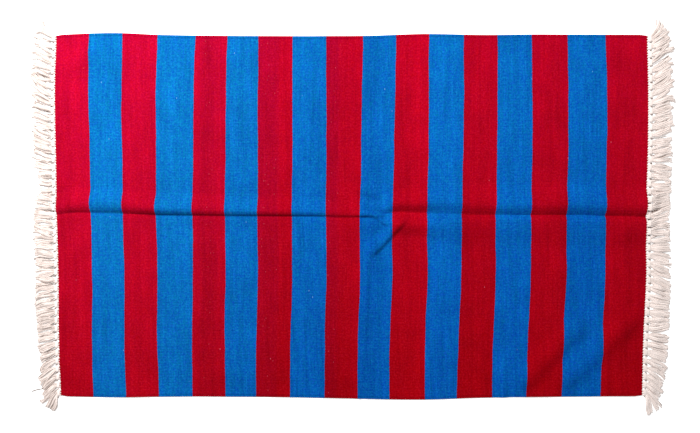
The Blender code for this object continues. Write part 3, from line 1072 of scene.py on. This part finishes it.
def weave_relief(shader, along, rib, noises):
    """The relief of single wefts, staggered from rib to rib, with some grain."""
    staggered = shader.math("MULTIPLY", shader.math("FLOOR", rib), 0.5)
    pick = shader.math("MULTIPLY_ADD", along, 1 / WEFT_PITCH, staggered)
    pick = shader.math("MULTIPLY_ADD", noises["fine"], 0.8, pick)
    weft = shader.math("ABSOLUTE", shader.math("SINE", shader.math("MULTIPLY", pick, math.pi)))
    return shader.math("MULTIPLY_ADD", noises["grain"], 0.8, weft)


def woven_material():
    """Weft-faced cotton in two dyes: streaky wefts, dye lots, toothed stripe edges and lint, with painted
    shade in rib grooves and seams and painted light towards the upper edge.
    """
    shader = Shader("dyed_cotton_weave")
    place = shader.node("Attribute", attribute_name="weave").outputs["Vector"]
    along, across, stripe = shader.node("SeparateXYZ", {0: place}).outputs
    rib = shader.math("MULTIPLY", across, RIB_COUNT / CLOTH_WIDTH)
    noises = {name: shader.noise(along, across, *values) for name, values in NOISES.items()}
    at = toothed(shader, stripe, rib, noises["ragged"])
    is_blue = shader.math("GREATER_THAN", shader.math("MODULO", at, 2.0), 1.0)
    # Painted light: towards the upper edge, where the key light falls stronger, the crimson grows brighter
    # and bluer and the blue greener.
    painted_light_tilt = shader.span(across, 0.0, CLOTH_WIDTH, -1.0, 1.0)
    crimson, red_strength = crimson_dye(shader, at, painted_light_tilt, noises["hue"])
    colour = shader.blend(is_blue, crimson, blue_dye(shader, at, painted_light_tilt, noises))
    light = shader.math("MULTIPLY", weave_light(shader, rib, is_blue, noises), seam_shade(shader, at, across))
    colour = shader.scale(colour, light)
    lint_colour = shader.blend(is_blue, LINT_ON_CRIMSON, LINT_ON_BLUE)
    colour = shader.blend(pale_fibres(shader, noises), colour, lint_colour)
    colour = shader.blend(lint_amount(shader, along, across, red_strength, is_blue), colour, lint_colour)
    return shader.cotton(colour, weave_relief(shader, along, rib, noises), strength=0.6, depth=0.0007)


def yarn_material():
    """Undyed plied cotton: cream, greyer on some strands at random and by painted light and shade, and dark
    with painted shadow in the hollows by the knots.
    """
    shader = Shader("undyed_cotton_yarn")
    strand = shader.node("Attribute", attribute_name="strand").outputs["Fac"]
    place = shader.node("TexCoord").outputs["Object"]
    fibres = shader.node("TexNoise", {"Vector": place, "Scale": 900.0, "Detail": 3.0}).outputs[0]
    clouds = shader.node("TexNoise", {"Vector": place, "Scale": 60.0, "Detail": 2.0}).outputs[0]
    # The strand value up to 1 holds random grey with painted light and shade; from 1 to 2 it darkens towards
    # the dark brown of painted shadow and the stray thread.
    greyer = shader.math("MULTIPLY", shader.span(strand, 0.0, 1.0), shader.span(clouds, 0.3, 0.7, 0.3, 1.0))
    colour = shader.blend(greyer, YARN, YARN_SHADE)
    colour = shader.blend(shader.span(strand, 1.0, 2.0), colour, YARN_HOLLOW)
    colour = shader.scale(colour, shader.span(fibres, 0.25, 0.75, 0.90, 1.06))
    return shader.cotton(colour, fibres, strength=0.4, depth=0.0004)


def floor_material():
    """A plain white studio floor, lit a little from below like a light table."""
    shader = Shader("studio_floor")
    shader.set(Base_Color=(*FLOOR, 1), Roughness=0.9, Specular_IOR_Level=0.1)
    shader.set(Emission_Color=(1, 1, 1, 1), Emission_Strength=0.45)
    return shader.material


# The studio ------------------------------------------------------------------------------------------

LENS = 40.0
SENSOR = 36.0
VIEW_WIDTH = 1.781
VIEW_OFFSET = (-0.0025, -0.0025)
KEY_PLACE = (-0.85, 1.35, 2.5)
KEY_SIZE = (1.3, 1.3)
KEY_POWER = 176.0
WORLD_LIGHT = 0.25


def camera():
    """The camera straight above the rug, wide enough for its fringes."""
    made = bpy.data.objects.new("camera", bpy.data.cameras.new("camera"))
    made.data.lens = LENS
    made.data.sensor_width = SENSOR
    height = VIEW_WIDTH * LENS / SENSOR
    made.location = (SHIFT[0] + VIEW_OFFSET[0], SHIFT[1] + VIEW_OFFSET[1], height)
    bpy.context.scene.collection.objects.link(made)
    bpy.context.scene.camera = made


def lights():
    """One large soft light from the upper left, and a faint even light from all round."""
    light = bpy.data.lights.new("key", "AREA")
    light.shape = "RECTANGLE"
    light.size, light.size_y = KEY_SIZE
    light.energy = KEY_POWER
    key = bpy.data.objects.new("key", light)
    key.location = KEY_PLACE
    bpy.context.scene.collection.objects.link(key)
    world = bpy.data.worlds.new("studio")
    world.use_nodes = True
    world.node_tree.nodes["Background"].inputs["Color"].default_value = (1, 1, 1, 1)
    world.node_tree.nodes["Background"].inputs["Strength"].default_value = WORLD_LIGHT
    bpy.context.scene.world = world
    bpy.context.scene.view_settings.view_transform = "Standard"


def floor():
    """The floor, a hair below the rug."""
    bpy.ops.mesh.primitive_plane_add(size=30, location=(0, 0, -0.0004))
    made = bpy.context.object
    made.name = "floor"
    made.data.materials.append(floor_material())
    return made


def main():
    """The whole scene: camera, lights, floor, and the cloth and fringes with their materials, attached to
    the root.
    """
    camera()
    lights()
    ground = floor()
    cloth = woven_field()
    cloth.data.materials.append(woven_material())
    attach(cloth, "root")
    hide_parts("woven_field")
    yarn = yarn_material()
    # The last pair is each fringe's painted light grey at its lower and upper end.
    for side, way, leans, seed, painted_light_greys in (
        ("left", -1, LEFT_TASSELS, 31, (0.72, 0.74)),
        ("right", 1, RIGHT_TASSELS, 57, (-0.30, 0.42)),
    ):
        for piece in fringe(side, way, leans, seed, painted_light_greys):
            piece.data.materials.append(yarn)
            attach(piece, "root")
        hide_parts(f"fringe_{side}")


main()
